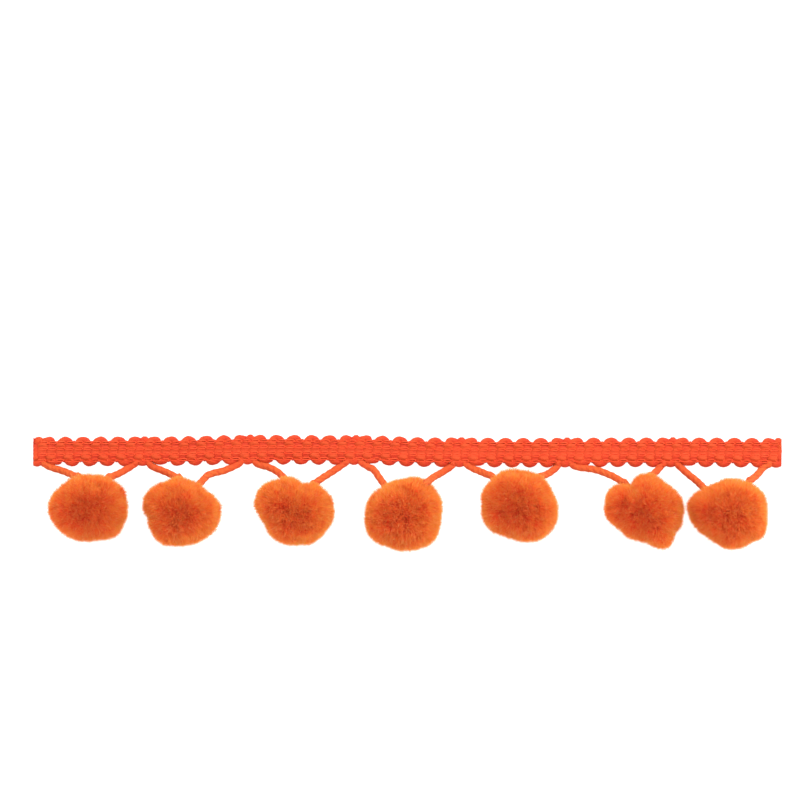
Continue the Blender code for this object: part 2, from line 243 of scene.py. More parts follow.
# One row for each pompom, in millimetres and degrees, as in the solids.
# x, y, width, depth, height: its middle and its size, height being up from the surface.
# forms: (bearing, proud, spread), a bulge or a hollow on its side, the bearing turning left from +X.
# left, right: each side of its loop, from where it leaves the braid to its way into the pompom.
# lies_on: the end of the loop, if any, that lies on the pompom before it sinks in.
# tone: how much paler or darker its yarn is.
# tufts: (bearing, proud, spread), a small lock that stands out of its side.
POMPOMS = (
    {
        "x": -79.7, "y": -3.7, "width": 20.5, "depth": 16.8, "height": 17.0,
        "forms": (
            (12, -0.4, 9), (45, 0.5, 12), (142, -0.9, 16), (200, -0.8, 12), (270, -0.3, 30),
            (305, -0.4, 8), (315, 1.0, 10), (330, -0.3, 6),
        ),
        "left": ((-89.2, 6.5), (-85.7, 5.4), (-83.0, 4.3)),
        "right": ((-68.7, 6.9), (-71.6, 5.1), (-73.9, 4.1)),
        "lies_on": None,
        "tone": -0.12,
        "tufts": ((28, 1.3, 4),),
    },
    {
        "x": -56.5, "y": -5.0, "width": 20.4, "depth": 17.0, "height": 17.5,
        "forms": (
            (42, -1.0, 13), (98, 0.6, 20), (87, -0.5, 6), (119, -0.4, 8), (153, 0.5, 16),
            (184, -2.2, 11), (210, -1.0, 10), (268, -0.4, 10), (302, -0.3, 8), (320, -0.5, 30),
        ),
        "left": ((-63.7, 6.6), (-61.7, 5.8), (-59.5, 4.9), (-57.6, 3.9)),
        "right": ((-42.5, 7.1), (-45.8, 5.6), (-47.9, 5.1), (-49.9, 4.4), (-51.4, 2.8)),
        "lies_on": None,
        "tone": -0.05,
        "tufts": ((174, 1.1, 4), (7, 0.8, 4)),
    },
    {
        "x": -28.1, "y": -5.0, "width": 20.0, "depth": 16.6, "height": 16.6,
        "forms": (
            (48, 0.5, 16), (73, -1.5, 9), (101, 0.8, 10), (143, 1.5, 21), (194, -1.9, 14),
            (228, -0.8, 16), (285, -0.7, 8), (300, 0.4, 10), (316, -0.4, 9), (338, -0.4, 12),
        ),
        "left": ((-37.1, 7.1), (-34.8, 6.5), (-32.35, 5.25), (-30.3, 3.3)),
        "right": ((-16.2, 7.1), (-18.65, 5.4), (-21.1, 3.85), (-23.0, 2.5)),
        "lies_on": None,
        "tone": 0.0,
        "tufts": (),
    },
    {
        "x": -1.0, "y": -5.3, "width": 19.5, "depth": 18.3, "height": 18.3,
        "forms": (
            (30, 0.5, 18), (64, 1.0, 10), (98, -0.3, 20), (135, -0.6, 16), (184, -0.3, 12),
            (207, 0.5, 22), (250, -0.4, 18), (315, 0.6, 16), (352, -0.4, 12),
        ),
        "left": ((-9.9, 6.6), (-8.4, 5.8), (-7.1, 4.0), (-5.6, 1.9)),
        "right": ((11.1, 6.8), (8.5, 5.05), (6.55, 4.0), (4.9, 2.7)),
        "lies_on": "right",
        "tone": 0.0,
        "tufts": (),
    },
    {
        "x": 28.15, "y": -2.9, "width": 19.4, "depth": 18.3, "height": 18.0,
        "forms": (
            (20, -0.9, 25), (80, -0.6, 22), (118, 0.4, 9), (160, 0.4, 20), (182, -0.4, 12),
            (206, 0.4, 18), (250, -0.7, 20), (310, 0.9, 26),
        ),
        "left": ((16.1, 6.3), (18.2, 5.4), (20.3, 4.5)),
        "right": ((37.4, 6.6), (35.6, 5.1), (33.6, 4.2)),
        "lies_on": None,
        "tone": -0.05,
        "tufts": (),
    },
    {
        "x": 59.15, "y": -4.5, "width": 20.3, "depth": 18.8, "height": 17.5,
        "forms": (
            (42, -0.8, 26), (90, 0.4, 10), (119, -3.0, 11), (151, 0.7, 9), (180, 0.5, 10),
            (213, -1.9, 22), (235, -0.4, 12), (262, -1.5, 20), (284, -0.9, 8), (301, 1.6, 11),
            (319, -0.7, 8), (342, -0.3, 12),
        ),
        "left": ((42.5, 6.5), (46.4, 5.95), (49.2, 5.1), (51.7, 4.0), (53.7, 2.8)),
        "right": ((63.4, 6.8), (62.4, 5.6), (61.0, 4.4)),
        "lies_on": None,
        "tone": -0.1,
        "tufts": (),
    },
    {
        "x": 80.4, "y": -5.0, "width": 20.8, "depth": 17.8, "height": 17.5,
        "forms": (
            (8, -0.7, 16), (75, -0.2, 14), (126, -0.9, 18), (166, 0.9, 8), (226, -1.4, 22),
            (283, 0.4, 12), (303, -0.5, 10), (330, 0.6, 8), (345, -0.5, 16),
        ),
        "left": ((68.1, 6.6), (70.2, 4.7), (72.3, 3.0), (73.6, 1.7)),
        "right": ((89.1, 6.5), (87.4, 4.55), (85.8, 3.3)),
        "lies_on": None,
        "tone": -0.05,
        "tufts": (),
    },
)

# Camera, straight above. The photograph shows 200 mm across, and its middle lies here.
VIEW_MIDDLE = Vector((-1.85, 23.25, 0)) * MM
VIEW_WIDTH = 200.0 * MM
CAMERA_HEIGHT = 3.0
SENSOR_WIDTH = 36.0

# Lights, all white and aimed at the origin: name, place in metres, diameter in metres, watts.
LIGHTS = (
    ("overhead", (0.1, 0.3, 0.85), 0.6, 2.8),
    ("key_above_braid", (0.25, 0.75, 0.6), 0.5, 4.5),
    ("left_side", (-0.8, 0.2, 0.4), 0.5, 2.7),
    ("right_side", (0.8, 0.1, 0.4), 0.5, 3.9),
    ("front_side", (-0.1, -0.8, 0.45), 0.5, 1.5),
)
SKY_STRENGTH = 0.8
TABLE_WIDTH = 6

UV_MAP = "OFBake"


# Small helpers for modelling

def deselect_all():
    bpy.ops.object.select_all(action="DESELECT")


def select_only(obj):
    deselect_all()
    obj.select_set(True)
    bpy.context.view_layer.objects.active = obj


def apply_modifiers(obj):
    select_only(obj)
    for modifier in list(obj.modifiers):
        bpy.ops.object.modifier_apply(modifier=modifier.name)


def smooth_step(share):
    share = min(max(share, 0.0), 1.0)
    return share * share * (3 - 2 * share)


def sway(x):
    """How far the braid's line lies off BRAID_Y at this x."""
    for (x0, y0), (x1, y1) in zip(SWAY, SWAY[1:]):
        if x <= x1 * MM:
            return (y0 + (y1 - y0) * smooth_step((x / MM - x0) / (x1 - x0))) * MM
    return SWAY[-1][1] * MM


def on_braid(x, y, z):
    """A point of the straight braid, brought to where the swaying braid lies."""
    x += LEAN * y / CORE_WIDTH
    return Vector((x, BRAID_Y + sway(x) + y, z))


# Node helpers, for materials and for the pile

def add_node(tree, kind, sockets=None, **settings):
    """A node with its settings and its inputs, each a value or the output that feeds it."""
    made = tree.nodes.new(kind)
    for name, value in settings.items():
        setattr(made, name, value)
    for name, value in (sockets or {}).items():
        if isinstance(value, bpy.types.NodeSocket):
            tree.links.new(value, made.inputs[name])
        else:
            made.inputs[name].default_value = value
    return made


def maths(tree, operation, *values):
    return add_node(tree, "ShaderNodeMath", dict(enumerate(values)), operation=operation).outputs[0]


def vector_maths(tree, operation, *values):
    return add_node(tree, "ShaderNodeVectorMath", dict(enumerate(values)), operation=operation).outputs[0]


def ramp(tree, factor, stops):
    """A colour ramp. stops: (place, linear colour)."""
    made = add_node(tree, "ShaderNodeValToRGB", {"Fac": factor})
    elements = made.color_ramp.elements
    for element, (place, colour) in zip(list(elements), (stops[0], stops[-1])):
        element.position = place
        element.color = (*colour, 1)
    for place, colour in stops[1:-1]:
        elements.new(place).color = (*colour, 1)
    return made.outputs["Color"]


def new_material(name):
    """A material with its tree and its shader, and its map as a whole and as X and Y."""
    material = bpy.data.materials.new(name)
    material.use_nodes = True
    tree = material.node_tree
    shader = tree.nodes["Principled BSDF"]
    uv = add_node(tree, "ShaderNodeUVMap", uv_map=UV_MAP)
    parts = add_node(tree, "ShaderNodeSeparateXYZ", {"Vector": uv.outputs["UV"]})
    return material, tree, shader, uv.outputs["UV"], parts.outputs["X"], parts.outputs["Y"]


def set_sockets(shader, values):
    for name, value in values.items():
        shader.inputs[name].default_value = value


# Materials

def let_light_through(tree, shader, colour, share):
    """Mixes some translucency into a shader, as thin fibres have."""
    through = add_node(tree, "ShaderNodeBsdfTranslucent", {"Color": colour})
    both = add_node(tree, "ShaderNodeMixShader", {"Fac": share})
    tree.links.new(shader.outputs["BSDF"], both.inputs[1])
    tree.links.new(through.outputs["BSDF"], both.inputs[2])
    tree.links.new(both.outputs["Shader"], tree.nodes["Material Output"].inputs["Surface"])


def pompom_yarn():
    """Trimmed pile. X of the map is a fibre's shade, and Y runs from its root to its tip.

    Towards the tips the colour is painted paler and yellower, a painted glow of light through the pile's
    edge, and towards the roots deeper and redder, painted shade inside the pile. The last stop of the tips'
    colours is the flyaways', the palest: a painted glow at the pile's edge.
    """
    material, tree, shader, _, shade, along = new_material("pompom_yarn")
    deep = ramp(tree, shade, ((0.0, (0.88, 0.026, 0.024)), (1.0, (0.96, 0.080, 0.026))))
    tip = ramp(tree, shade, (
        (0.0, (0.88, 0.230, 0.041)),
        (0.9, (0.91, 0.680, 0.105)),
        (0.95, (0.92, 0.700, 0.240)),
    ))
    # Painted light: the colour runs from painted shade at the roots to a painted glow at the tips.
    up = maths(tree, "POWER", along, PALE_TOWARDS_TIP)
    mixed = add_node(tree, "ShaderNodeMixRGB", {"Fac": up, "Color1": deep, "Color2": tip})
    colour = mixed.outputs["Color"]
    tree.links.new(colour, shader.inputs["Base Color"])
    set_sockets(shader, {
        "Roughness": 0.9, "Specular IOR Level": 0.15,
        "Sheen Weight": 0.35, "Sheen Roughness": 0.45, "Sheen Tint": (1.0, 0.55, 0.22, 1),
    })
    let_light_through(tree, shader, colour, LIGHT_THROUGH_PILE)
    return material


def cord_material(name, dark, light, sheen_tint, along_scale, around_scale, tint):
    """Spun yarn. X of the map runs round the cord with its twist, and Y runs along it.

    tint: a colour, how many times it comes along the map, how narrowly, and its share.
    """
    material, tree, shader, uv, around, along = new_material(name)
    stretched = add_node(tree, "ShaderNodeMapping", {"Vector": uv, "Scale": (around_scale, along_scale, 1)})
    fibres = add_node(tree, "ShaderNodeTexNoise", {
        "Vector": stretched.outputs["Vector"], "Scale": 1.0, "Detail": 3.0, "Roughness": 0.6,
    })
    # Painted shade: paler on the tops of the plies, darker in the grooves between them.
    plies = maths(tree, "COSINE", maths(tree, "MULTIPLY", around, 2 * math.pi * CORD_PLIES))
    lit = maths(tree, "MULTIPLY_ADD", plies, PLY_PAINTED_SHADE, fibres.outputs["Fac"])
    colour = ramp(tree, lit, ((0.3, dark), (0.7, light)))
    tint_colour, times, narrow, share = tint
    # The swing keeps a hair inside 0 and 1, because a power takes no number below 0.
    swing = maths(tree, "COSINE", maths(tree, "MULTIPLY", along, 2 * math.pi * times))
    near = maths(tree, "POWER", maths(tree, "MULTIPLY_ADD", swing, 0.4999, 0.5), narrow)
    mixed = add_node(tree, "ShaderNodeMixRGB", {
        "Fac": maths(tree, "MULTIPLY", near, share), "Color1": colour, "Color2": (*tint_colour, 1),
    })
    tree.links.new(mixed.outputs["Color"], shader.inputs["Base Color"])
    bump = add_node(tree, "ShaderNodeBump", {
        "Height": fibres.outputs["Fac"], "Strength": 0.4, "Distance": 0.12 * MM,
    })
    tree.links.new(bump.outputs["Normal"], shader.inputs["Normal"])
    set_sockets(shader, {
        "Roughness": 0.75, "Specular IOR Level": 0.25,
        "Sheen Weight": 0.3, "Sheen Roughness": 0.4, "Sheen Tint": (*sheen_tint, 1),
    })
    return material


def warp_material():
    """The finer yarn of the chains. Each stitch has its own cell of the map, the outer rows' first.

    Some stitches of the outer rows have a painted glint, a pale head, as where the needle's yarn catches the
    light.
    """
    material, tree, shader, uv, across, up = new_material("warp_yarn")
    fibres = add_node(tree, "ShaderNodeTexNoise", {"Vector": uv, "Scale": 90.0, "Detail": 2.0})
    colour = ramp(tree, fibres.outputs["Fac"], (
        (0.3, (0.66, 0.050, 0.016)),
        (0.7, (0.85, 0.106, 0.034)),
    ))
    cell = add_node(tree, "ShaderNodeCombineXYZ", {
        "X": maths(tree, "FLOOR", maths(tree, "MULTIPLY", across, STITCHES_ACROSS)),
        "Y": maths(tree, "FLOOR", maths(tree, "MULTIPLY", up, STITCHES_UP)),
    })
    # Painted glint: a pale patch on the head of some stitches of the outer rows.
    chance = add_node(tree, "ShaderNodeTexWhiteNoise", {"Vector": cell.outputs[0]}).outputs["Value"]
    outer = maths(tree, "LESS_THAN", up, 0.5)
    around_stitch = maths(tree, "MULTIPLY", across, 2 * math.pi * STITCHES_ACROSS)
    head = maths(tree, "GREATER_THAN", maths(tree, "COSINE", around_stitch), GLINT_HEAD_REACH)
    chosen = maths(tree, "GREATER_THAN", chance, 1 - PAINTED_GLINT_STITCHES)
    painted_glint = maths(tree, "MULTIPLY", maths(tree, "MULTIPLY", chosen, outer), head)
    mixed = add_node(tree, "ShaderNodeMixRGB", {
        "Fac": maths(tree, "MULTIPLY", painted_glint, PAINTED_GLINT_SHARE), "Color1": colour, "Color2": (1.0, 0.45, 0.3, 1),
    })
    tree.links.new(mixed.outputs["Color"], shader.inputs["Base Color"])
    set_sockets(shader, {
        "Roughness": 0.7, "Specular IOR Level": 0.15,
        "Sheen Weight": 0.1, "Sheen Roughness": 0.4, "Sheen Tint": (1.0, 0.4, 0.2, 1),
    })
    return material


def table_material():
    """A white table with a glow of its own, so that it shows as pure white."""
    material, _, shader, _, _, _ = new_material("white_table")
    set_sockets(shader, {
        "Base Color": (0.35, 0.35, 0.35, 1), "Roughness": 0.9, "Specular IOR Level": 0.1,
        "Emission Color": (1, 1, 1, 1), "Emission Strength": 0.95,
    })
    return material


# Cords

def lobed_profile(name):
    """The outline of a plied cord, of radius 1, as a closed curve for the bevel of a cord."""
    data = bpy.data.curves.new(name, "CURVE")
    data.dimensions = "2D"
    spline = data.splines.new("POLY")
    spline.points.add(CORD_SIDES - 1)
    for index, point in enumerate(spline.points):
        angle = 2 * math.pi * index / CORD_SIDES
        radius = 1 - PLY_DEPTH + PLY_DEPTH * math.cos(CORD_PLIES * angle)
        point.co = (radius * math.cos(angle), radius * math.sin(angle), 0, 1)
    spline.use_cyclic_u = True
    obj = bpy.data.objects.new(name, data)
    bpy.context.scene.collection.objects.link(obj)
    return obj


def plied_cord(name, route, radii, twist, rings_per_map):
    """A twisted cord along a route, as a mesh whose map runs round it and along it.

    twist is the length that one turn takes. rings_per_map says how many rings the map takes before it starts
    again.
    """
    profile = lobed_profile(name + "_profile")
    data = bpy.data.curves.new(name, "CURVE")
    data.dimensions = "3D"
    data.twist_mode = "MINIMUM"
    data.bevel_mode = "OBJECT"
    data.bevel_object = profile
    data.use_fill_caps = True
    spline = data.splines.new("POLY")
    spline.points.add(len(route) - 1)
    walked = 0.0
    for index, (target, point, radius) in enumerate(zip(spline.points, route, radii)):
        walked += (point - route[index - 1]).length if index else 0.0
        target.co = (*point, 1)
        target.radius = radius
        target.tilt = 2 * math.pi * walked / twist
    cord = bpy.data.objects.new(name, data)
    bpy.context.scene.collection.objects.link(cord)
    select_only(cord)
    bpy.ops.object.convert(target="MESH")
    bpy.data.objects.remove(profile)
    cord = bpy.context.view_layer.objects.active
    map_cord(cord.data, rings_per_map)
    bpy.ops.object.shade_smooth()
    return cord


def map_cord(mesh, rings_per_map):
    """Lays a map round and along a cord whose rings of vertices follow one another."""
    while mesh.uv_layers:
        mesh.uv_layers.remove(mesh.uv_layers[0])
    places = mesh.uv_layers.new(name=UV_MAP).data
    for face in mesh.polygons:
        rings = [vertex // CORD_SIDES for vertex in face.vertices]
        around = [vertex % CORD_SIDES for vertex in face.vertices]
        wraps = max(around) - min(around) > CORD_SIDES / 2
        first = min(rings)
        for loop, ring, side in zip(face.loop_indices, rings, around):
            across = (side + CORD_SIDES * (wraps and side < CORD_SIDES / 2)) / CORD_SIDES
            along = (first % rings_per_map + ring - first) / rings_per_map
            places[loop].uv = (across, along)


def curve_through(points):
    """A closely spaced Catmull-Rom curve through the points of a route."""
    padded = [points[0] * 2 - points[1], *points, points[-1] * 2 - points[-2]]
    steps = 40
    fine = []
    for a, b, c, d in zip(padded, padded[1:], padded[2:], padded[3:]):
        for step in range(steps):
            t = step / steps
            bend = (2 * a - 5 * b + 4 * c - d) * t ** 2 + (3 * b - a - 3 * c + d) * t ** 3
            fine.append((2 * b + (c - a) * t + bend) / 2)
    return [*fine, points[-1]]


def evenly_spaced(fine, step):
    """Points a fixed way apart along a finely drawn curve, with both of its ends."""
    total = sum((b - a).length for a, b in zip(fine, fine[1:]))
    count = max(2, round(total / step))
    spaced = [fine[0]]
    walked = 0.0
    for a, b in zip(fine, fine[1:]):
        length = (b - a).length
        while len(spaced) < count and walked + length >= len(spaced) * total / count:
            spaced.append(a.lerp(b, (len(spaced) * total / count - walked) / length))
        walked += length
    return [*spaced, fine[-1]]


# Pile and fuzz, by Geometry Nodes

def strand(name, width):
    """One fibre, a narrow blade of length 1 that stands on the origin and thins out to a point."""
    deselect_all()
    bpy.ops.mesh.primitive_circle_add(vertices=3, fill_type="NGON")
    obj = bpy.context.active_object
    obj.name = name
    along = obj.data.attributes.new("along", "FLOAT", "POINT")
    around = obj.data.attributes.new("around", "FLOAT", "POINT")
    for index, (side, up) in enumerate(((0.0, 1.0), (-0.5, 0.0), (0.5, 0.0))):
        along.data[index].value = up
        around.data[index].value = side + 0.5
        obj.data.vertices[index].co = (side * width, 0, up)
    return obj


def layer(fibre, density, length, combing, spread, shades=PILE_SHADES):
    """One kind of fibre on a piece.

    density is fibres for each square metre. combing is how far neighbours lean alike, and spread how far each
    leans by itself. shades are the darkest and the palest that its fibres may be, from 0 to 1.
    """
    return {
        "fibre": fibre, "density": density, "length": length, "combing": combing, "spread": spread,
        "shades": shades,
    }


def add_pile(obj, layers, seed, map_from_root, tone=0.0):
    """Grows fibres all over a piece and makes them part of its mesh.

    With map_from_root a fibre takes the place on the map where it grows. Otherwise the map holds its shade,
    with painted shade on one side of a pompom, and the way along it, and tone makes all the shades paler or
    darker.
    """
    tree = bpy.data.node_groups.new(obj.name + "_pile", "GeometryNodeTree")
    tree.interface.new_socket("Geometry", in_out="INPUT", socket_type="NodeSocketGeometry")
    tree.interface.new_socket("Geometry", in_out="OUTPUT", socket_type="NodeSocketGeometry")
    start = add_node(tree, "NodeGroupInput")
    end = add_node(tree, "NodeGroupOutput")
    position = add_node(tree, "GeometryNodeInputPosition").outputs[0]

    def clumps(size, output="Color", detail=1.0):
        made = add_node(tree, "ShaderNodeTexNoise", {"Vector": position, "Scale": 1 / size, "Detail": detail})
        return made.outputs[output]

    def random_float(low, high, salt):
        made = add_node(tree, "FunctionNodeRandomValue", {"Seed": seed + salt}, data_type="FLOAT")
        made.inputs[2].default_value = low
        made.inputs[3].default_value = high
        return made.outputs[1]

    def named(name, kind="FLOAT"):
        return add_node(tree, "GeometryNodeInputNamedAttribute", {"Name": name}, data_type=kind).outputs[0]

    def stored(geometry, name, value, kind="FLOAT", domain="POINT"):
        return add_node(tree, "GeometryNodeStoreNamedAttribute", {
            "Geometry": geometry, "Name": name, "Value": value,
        }, data_type=kind, domain=domain).outputs[0]

    def shade_of(shades, salt, normal):
        mottle = maths(tree, "MULTIPLY_ADD", clumps(SHADE_CLUMP, "Fac", 2.0), SHADE_CONTRAST, tone)
        # Painted shade: fibres whose roots face the pompom's shaded side, up and towards -X and -Y, are made
        # deeper.
        facing = add_node(tree, "ShaderNodeVectorMath", {0: normal, 1: PAINTED_SHADE_SIDE}, operation="DOT_PRODUCT")
        deep = maths(tree, "POWER", maths(tree, "MAXIMUM", facing.outputs["Value"], 0.0), 2.0)
        mottle = maths(tree, "SUBTRACT", mottle, maths(tree, "MULTIPLY", deep, PAINTED_SHADE_SHARE))
        shade = maths(tree, "ADD", mottle, random_float(-SHADE_SPREAD, SHADE_SPREAD, salt))
        return maths(tree, "MINIMUM", maths(tree, "MAXIMUM", shade, shades[0]), shades[1])

    def grow(kind, salt):
        scatter = add_node(tree, "GeometryNodeDistributePointsOnFaces", {
            "Mesh": start.outputs[0], "Density": kind["density"], "Seed": seed + salt,
        })
        leaning = add_node(tree, "FunctionNodeRandomValue", {
            "Seed": seed + salt + 1,
        }, data_type="FLOAT_VECTOR")
        leaning.inputs[0].default_value = (-kind["spread"],) * 3
        leaning.inputs[1].default_value = (kind["spread"],) * 3
        combed = vector_maths(tree, "SUBTRACT", clumps(COMBED_CLUMP), (0.5, 0.5, 0.5))
        combed = vector_maths(tree, "MULTIPLY", combed, (2 * kind["combing"],) * 3)
        direction = vector_maths(tree, "ADD", scatter.outputs["Normal"], combed)
        direction = vector_maths(tree, "ADD", direction, leaning.outputs[0])
        angles = add_node(tree, "ShaderNodeCombineXYZ", {"Z": random_float(0, 2 * math.pi, salt + 4)})
        facing = add_node(tree, "FunctionNodeEulerToRotation", {"Euler": angles.outputs[0]})
        turned = add_node(tree, "FunctionNodeAlignRotationToVector", {
            "Rotation": facing.outputs[0], "Vector": direction,
        }, axis="Z")
        tall = maths(tree, "MULTIPLY", random_float(SHORTEST, LONGEST, salt + 2), kind["length"])
        tuft = maths(tree, "MULTIPLY_ADD", clumps(LENGTH_CLUMP, "Fac"), CLUMP_MORE, CLUMP_LEAST)
        scale = add_node(tree, "ShaderNodeCombineXYZ", {
            "X": 1.0, "Y": 1.0, "Z": maths(tree, "MULTIPLY", tall, tuft),
        })
        roots = scatter.outputs["Points"]
        if map_from_root:
            grown = stored(roots, "root_map", named(UV_MAP, "FLOAT_VECTOR"), "FLOAT_VECTOR")
        else:
            grown = stored(roots, "shade", shade_of(kind["shades"], salt + 3, scatter.outputs["Normal"]))
        shape = add_node(tree, "GeometryNodeObjectInfo", {"Object": kind["fibre"]})
        placed = add_node(tree, "GeometryNodeInstanceOnPoints", {
            "Points": grown, "Instance": shape.outputs["Geometry"],
            "Rotation": turned.outputs[0], "Scale": scale.outputs[0],
        })
        real = add_node(tree, "GeometryNodeRealizeInstances", {"Geometry": placed.outputs[0]}).outputs[0]
        if map_from_root:
            offset = add_node(tree, "ShaderNodeCombineXYZ", {
                "X": maths(tree, "MULTIPLY", named("around"), FUZZ_MAP_SIZE),
                "Y": maths(tree, "MULTIPLY", named("along"), FUZZ_MAP_SIZE),
            }).outputs[0]
            place = vector_maths(tree, "ADD", named("root_map", "FLOAT_VECTOR"), offset)
        else:
            place = add_node(tree, "ShaderNodeCombineXYZ", {
                "X": maths(tree, "MULTIPLY_ADD", named("around"), FIBRE_MAP_WIDTH, named("shade")),
                "Y": maths(tree, "MULTIPLY_ADD", named("along"), FIBRE_MAP_LENGTH, FIBRE_MAP_ROOT),
            }).outputs[0]
        return stored(real, UV_MAP, place, "FLOAT2", "CORNER")

    base = start.outputs[0]
    if not map_from_root:
        normal = add_node(tree, "GeometryNodeInputNormal").outputs[0]
        skin = add_node(tree, "ShaderNodeCombineXYZ", {
            "X": shade_of(PILE_SHADES, 3, normal),
            "Y": maths(tree, "MULTIPLY", clumps(SKIN_CLUMP, "Fac"), SKIN_MAP_DEPTH),
        }).outputs[0]
        base = stored(base, UV_MAP, skin, "FLOAT2", "CORNER")
    joined = add_node(tree, "GeometryNodeJoinGeometry")
    for number, kind in enumerate(layers):
        tree.links.new(grow(kind, SEEDS_PER_LAYER * number), joined.inputs[0])
    tree.links.new(base, joined.inputs[0])
    # Whatever would reach into the table is lifted on to it.
    whole = add_node(tree, "ShaderNodeSeparateXYZ", {"Vector": position})
    lifted = add_node(tree, "ShaderNodeCombineXYZ", {
        "X": whole.outputs["X"], "Y": whole.outputs["Y"],
        "Z": maths(tree, "MAXIMUM", whole.outputs["Z"], ABOVE_TABLE),
    })
    settled = add_node(tree, "GeometryNodeSetPosition", {
        "Geometry": joined.outputs[0], "Position": lifted.outputs[0],
    })
    tree.links.new(settled.outputs[0], end.inputs[0])
    obj.modifiers.new("pile", "NODES").node_group = tree
    apply_modifiers(obj)
    bpy.data.node_groups.remove(tree)
    for name in ("shade", "root_map", "along", "around"):
        if name in obj.data.attributes:
            obj.data.attributes.remove(obj.data.attributes[name])


def finish_piece(obj, material, slot, *nodes):
    """Gives a piece its material and its place in the model."""
    obj.data.materials.clear()
    obj.data.materials.append(material)
    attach(obj, "root")
    if nodes:
        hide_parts(*nodes)


# Braid

def weft_route():
    """The weft cord, back and forth across the braid: its middle line, half width and half thickness."""
    turns_per_repeat = 2 * BUMPS_PER_REPEAT
    route, widths = [], []
    for turn in range(-1, RUNS + 2):
        x = FIRST_NODE_X + RUN_STEP * turn
        side = 1 if turn % 2 else -1
        place = turn % turns_per_repeat
        proud = 0.0 if place == FLAT_TURN else BUMP_HEIGHT
        swell = CORE_WIDTH / 2 + proud - WEFT_TURN_RADIUS - WEFT_TURN_STARTS
        apart = {1: NODE_TURNS_APART, turns_per_repeat - 1: -NODE_TURNS_APART}.get(place, 0.0)
        for step in range(TURN_STEPS + 1):
            angle = math.pi * step / TURN_STEPS
            round_turn = math.sin(angle)
            pulled_in = 1 - TURN_PULLED_IN * round_turn
            off = -RUN_STEP / 2 * math.cos(angle) * pulled_in + apart * round_turn
            y = side * (WEFT_TURN_STARTS + max(swell, LEAST_TURN_SWELL) * round_turn)
            rounded = smooth_step(round_turn / TURN_ROUNDS_OVER)
            route.append((x + off, y))
            widths.append(WEFT_END_HALF_WIDTH + (WEFT_TURN_RADIUS - WEFT_END_HALF_WIDTH) * rounded)
        for step in range(1, RUN_STEPS):
            y = side * WEFT_TURN_STARTS * (1 - 2 * step / RUN_STEPS)
            full = smooth_step((WEFT_TURN_STARTS - abs(y)) / RUN_SWELLS_OVER)
            route.append((x + RUN_STEP / 2, y))
            widths.append(WEFT_END_HALF_WIDTH + (WEFT_HALF_WIDTH - WEFT_END_HALF_WIDTH) * full)
    thicknesses = []
    for (_, y), width in zip(route, widths):
        pull = sum(math.exp(-((y - row) / WARP_PINCH_REACH) ** 2) for row in WARP_ROWS)
        thicknesses.append(min(width, WEFT_HALF_THICKNESS) * (1 - WARP_PINCH * min(pull, 1.0)))
    return [on_braid(x, y, WEFT_Z) for x, y in route], widths, thicknesses


def cut_ends(obj, inset):
    """Cuts a yarn off straight at both of the braid's ends, a little inside them, and closes the cuts."""
    cut = HALF_LENGTH - inset
    select_only(obj)
    bpy.ops.object.mode_set(mode="EDIT")
    for side in (-1, 1):
        bpy.ops.mesh.select_all(action="SELECT")
        bpy.ops.mesh.bisect(
            plane_co=(side * cut, 0, 0), plane_no=(side, 0, 0), use_fill=True, clear_outer=True,
        )
    bpy.ops.object.mode_set(mode="OBJECT")
    points = obj.data.vertices
    places = obj.data.uv_layers[UV_MAP].data
    for face in obj.data.polygons:
        if all(abs(abs(points[index].co.x) - cut) < ON_THE_CUT for index in face.vertices):
            face.use_smooth = False
            for loop, index in zip(face.loop_indices, face.vertices):
                _, y, z = points[index].co / CUT_MAP_WIDTH
                places[loop].uv = (0.5 + y - BRAID_Y / CUT_MAP_WIDTH, 0.5 + z)


def edge_yarn(name, side, material):
    """The straight yarn inside an edge of the braid, round which the weft turns."""
    steps = round(2 * HALF_LENGTH / EDGE_YARN_STEP)
    along = [HALF_LENGTH * (2 * step / steps - 1) for step in range(steps + 1)]
    route = [on_braid(x, side * EDGE_YARN_Y, WEFT_Z) for x in along]
    radii = [EDGE_YARN_RADIUS] * len(route)
    obj = plied_cord(name, route, radii, EDGE_YARN_TWIST, EDGE_YARN_RINGS_PER_MAP)
    cut_ends(obj, EDGE_YARN_CUT_INSET)
    finish_piece(obj, material, "braid_yarn")


def braid_weft(material, fuzz):
    """The weft cord of the whole braid, flattened where the warps hold it."""
    route, widths, thicknesses = weft_route()
    rings_per_map = 2 * (TURN_STEPS + RUN_STEPS)
    obj = plied_cord("braid_weft", route, widths, WEFT_TWIST, rings_per_map)
    flattened = [thickness / width for thickness, width in zip(thicknesses, widths)]
    # The caps have rings of their own, after all the others.
    flattened += [flattened[0], flattened[-1]]
    for index, vertex in enumerate(obj.data.vertices):
        vertex.co.z = WEFT_Z + (vertex.co.z - WEFT_Z) * flattened[index // CORD_SIDES]
    cut_ends(obj, WEFT_CUT_INSET)
    hairs = layer(fuzz, WEFT_FUZZ, WEFT_FUZZ_LENGTH, combing=0.5, spread=0.9)
    add_pile(obj, [hairs], WEFT_SEED, map_from_root=True)
    finish_piece(obj, material, "braid_yarn", "heading_braid")


